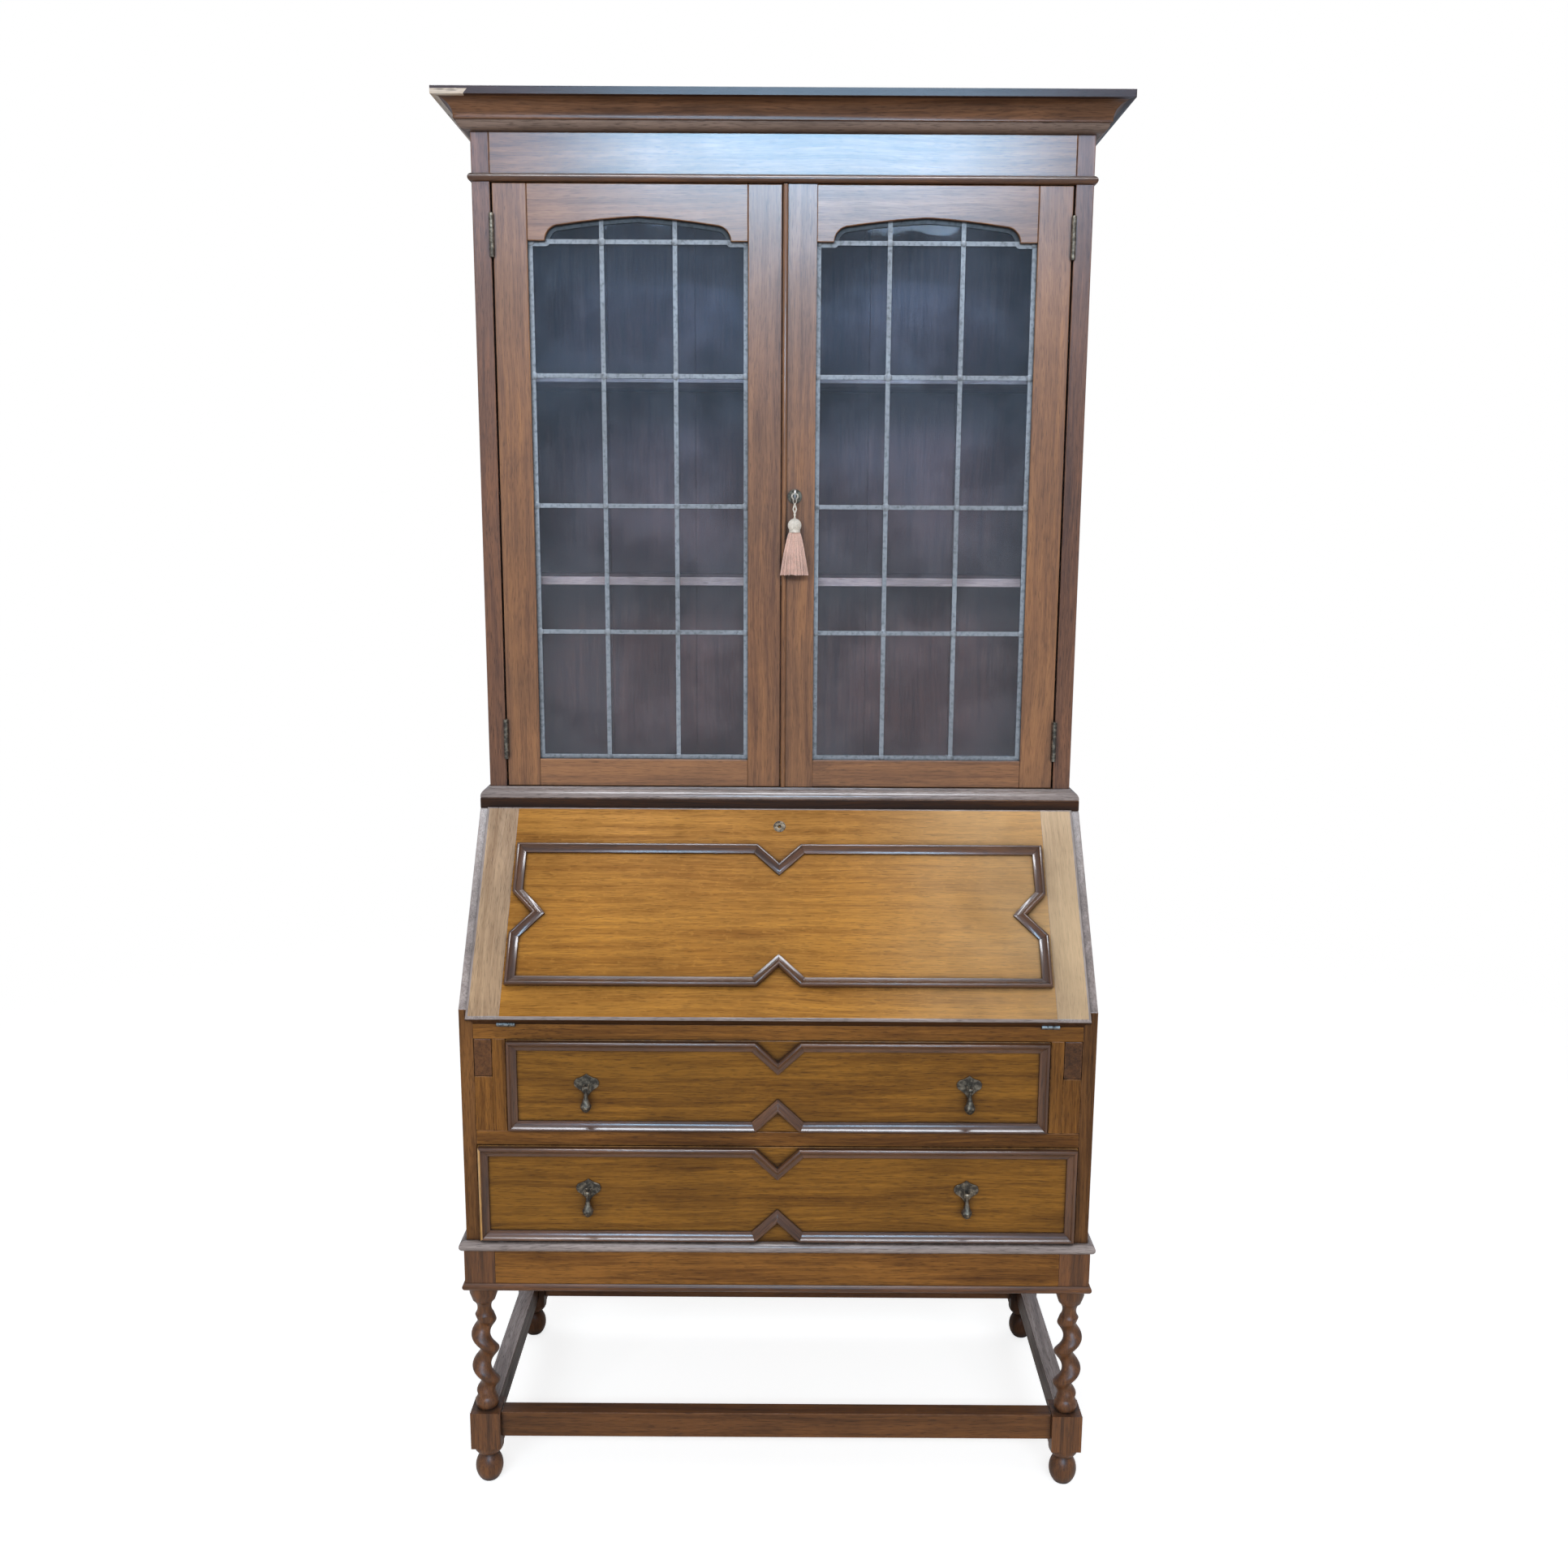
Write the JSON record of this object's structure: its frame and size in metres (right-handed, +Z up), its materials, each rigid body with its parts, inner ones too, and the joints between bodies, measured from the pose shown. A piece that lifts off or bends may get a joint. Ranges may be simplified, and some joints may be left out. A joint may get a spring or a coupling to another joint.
{
  "type": "bureau bookcase",
  "caption": "Oak bureau bookcase: leaded glass doors over a sloping fall and drawers with applied mouldings, on a stand with barley-twist legs and stretchers",
  "frame": {"origin": "on the floor, under the middle of the overall box", "axes": "+X to the right, +Y to the back, +Z up; the front faces -Y"},
  "size_m": [0.979, 0.4646, 2.034],
  "materials": {
    "stand_oak": "dark stained and waxed oak",
    "carcase_oak": "stained and waxed oak",
    "panel_oak": "golden brown waxed oak",
    "door_oak": "stained and waxed oak",
    "moulding_oak": "dark stained oak mouldings",
    "inside_oak": "plain oiled oak",
    "lead": "dull lead",
    "window_glass": "clear old glass",
    "aged_brass": "darkened brass",
    "key_steel": "worn steel",
    "tassel_silk": "silk threads"
  },
  "bodies": {
    "carcase": {"leg_front_left": "stand_oak", "leg_front_right": "stand_oak", "leg_rear_left": "stand_oak", "leg_rear_right": "stand_oak", "stretchers": "stand_oak", "aprons": "stand_oak", "apron_bead": "stand_oak", "waist_moulding": "stand_oak", "bureau_side_left": "carcase_oak", "bureau_side_right": "carcase_oak", "bureau_bottom": "carcase_oak", "drawer_rail": "carcase_oak", "writing_bed": "carcase_oak", "loper_partitions": "carcase_oak", "bureau_top": "carcase_oak", "bookcase_side_left": "carcase_oak", "bookcase_side_right": "carcase_oak", "bookcase_bottom": "carcase_oak", "bookcase_top": "carcase_oak", "frieze_rail": "carcase_oak", "surbase_moulding": "moulding_oak", "frieze_bead": "moulding_oak", "cornice": "moulding_oak", "bureau_back": "inside_oak", "pigeonholes": "inside_oak", "bookcase_back_boards": "inside_oak", "bookcase_shelf_lower": "inside_oak", "bookcase_shelf_upper": "inside_oak", "fall_hinge_plates": "aged_brass", "door_hinge_plates": "aged_brass"},
    "fall": {"fall_panel": "panel_oak", "fall_mouldings": "moulding_oak", "fall_lock_plate": "aged_brass", "fall_hinge_leaves": "aged_brass"},
    "loper_left": {"loper_left": "carcase_oak"},
    "loper_right": {"loper_right": "carcase_oak"},
    "upper_drawer": {"upper_drawer_front": "panel_oak", "upper_drawer_box": "inside_oak", "upper_drawer_mouldings": "moulding_oak", "upper_pull_plates": "aged_brass"},
    "lower_drawer": {"lower_drawer_front": "panel_oak", "lower_drawer_box": "inside_oak", "lower_drawer_mouldings": "moulding_oak", "lower_pull_plates": "aged_brass"},
    "upper_drop_left": {"upper_pull_drop_left": "aged_brass"},
    "upper_drop_right": {"upper_pull_drop_right": "aged_brass"},
    "lower_drop_left": {"lower_pull_drop_left": "aged_brass"},
    "lower_drop_right": {"lower_pull_drop_right": "aged_brass"},
    "door_left": {"door_left_frame": "door_oak", "door_left_leadwork": "lead", "door_left_glass": "window_glass", "door_left_hinge_leaves": "aged_brass"},
    "door_right": {"door_right_frame": "door_oak", "door_right_leadwork": "lead", "door_right_glass": "window_glass", "door_right_hinge_leaves": "aged_brass", "door_lock": "aged_brass", "tassel": "tassel_silk"},
    "lock_bolt": {"lock_bolt": "key_steel"},
    "key": {"door_key": "key_steel"}
  },
  "joints": [
    {"name": "fall_hinge", "type": "hinge", "parent": "carcase", "child": "fall", "pos_m": [0, -0.21175, 0.733], "axis": [1, 0, 0], "range_deg": [0, 127.5]},
    {"name": "door_left_hinge", "type": "hinge", "parent": "carcase", "child": "door_left", "pos_m": [-0.4172, -0.00555, 1.042], "axis": [0, 0, -1], "range_deg": [0, 110]},
    {"name": "door_right_hinge", "type": "hinge", "parent": "carcase", "child": "door_right", "pos_m": [0.4172, -0.00555, 1.042], "axis": [0, 0, 1], "range_deg": [0, 110]},
    {"name": "loper_left_slide", "type": "slide", "parent": "carcase", "child": "loper_left", "axis": [0, -1, 0], "range_m": [0, 0.26]},
    {"name": "loper_right_slide", "type": "slide", "parent": "carcase", "child": "loper_right", "axis": [0, -1, 0], "range_m": [0, 0.26]},
    {"name": "upper_drawer_slide", "type": "slide", "parent": "carcase", "child": "upper_drawer", "axis": [0, -1, 0], "range_m": [0, 0.3]},
    {"name": "lower_drawer_slide", "type": "slide", "parent": "carcase", "child": "lower_drawer", "axis": [0, -1, 0], "range_m": [0, 0.3]},
    {"name": "upper_drop_left_swing", "type": "hinge", "parent": "upper_drawer", "child": "upper_drop_left", "pos_m": [-0.276, -0.22425, 0.641], "axis": [-1, 0, 0], "range_deg": [0, 80]},
    {"name": "upper_drop_right_swing", "type": "hinge", "parent": "upper_drawer", "child": "upper_drop_right", "pos_m": [0.276, -0.22425, 0.641], "axis": [-1, 0, 0], "range_deg": [0, 80]},
    {"name": "lower_drop_left_swing", "type": "hinge", "parent": "lower_drawer", "child": "lower_drop_left", "pos_m": [-0.276, -0.22425, 0.4795], "axis": [-1, 0, 0], "range_deg": [0, 80]},
    {"name": "lower_drop_right_swing", "type": "hinge", "parent": "lower_drawer", "child": "lower_drop_right", "pos_m": [0.276, -0.22425, 0.4795], "axis": [-1, 0, 0], "range_deg": [0, 80]},
    {"name": "key_turn", "type": "hinge", "parent": "door_right", "child": "key", "pos_m": [0.02, 0, 1.479], "axis": [0, 1, 0], "range_deg": [0, 90]},
    {"name": "bolt_slide", "type": "slide", "parent": "door_right", "child": "lock_bolt", "axis": [-1, 0, 0], "range_m": [0, 0.0081]}
  ],
  "couplings": [
    {"joint": "bolt_slide", "follows": "key_turn", "m_per_rad": 0.005093}
  ]
}
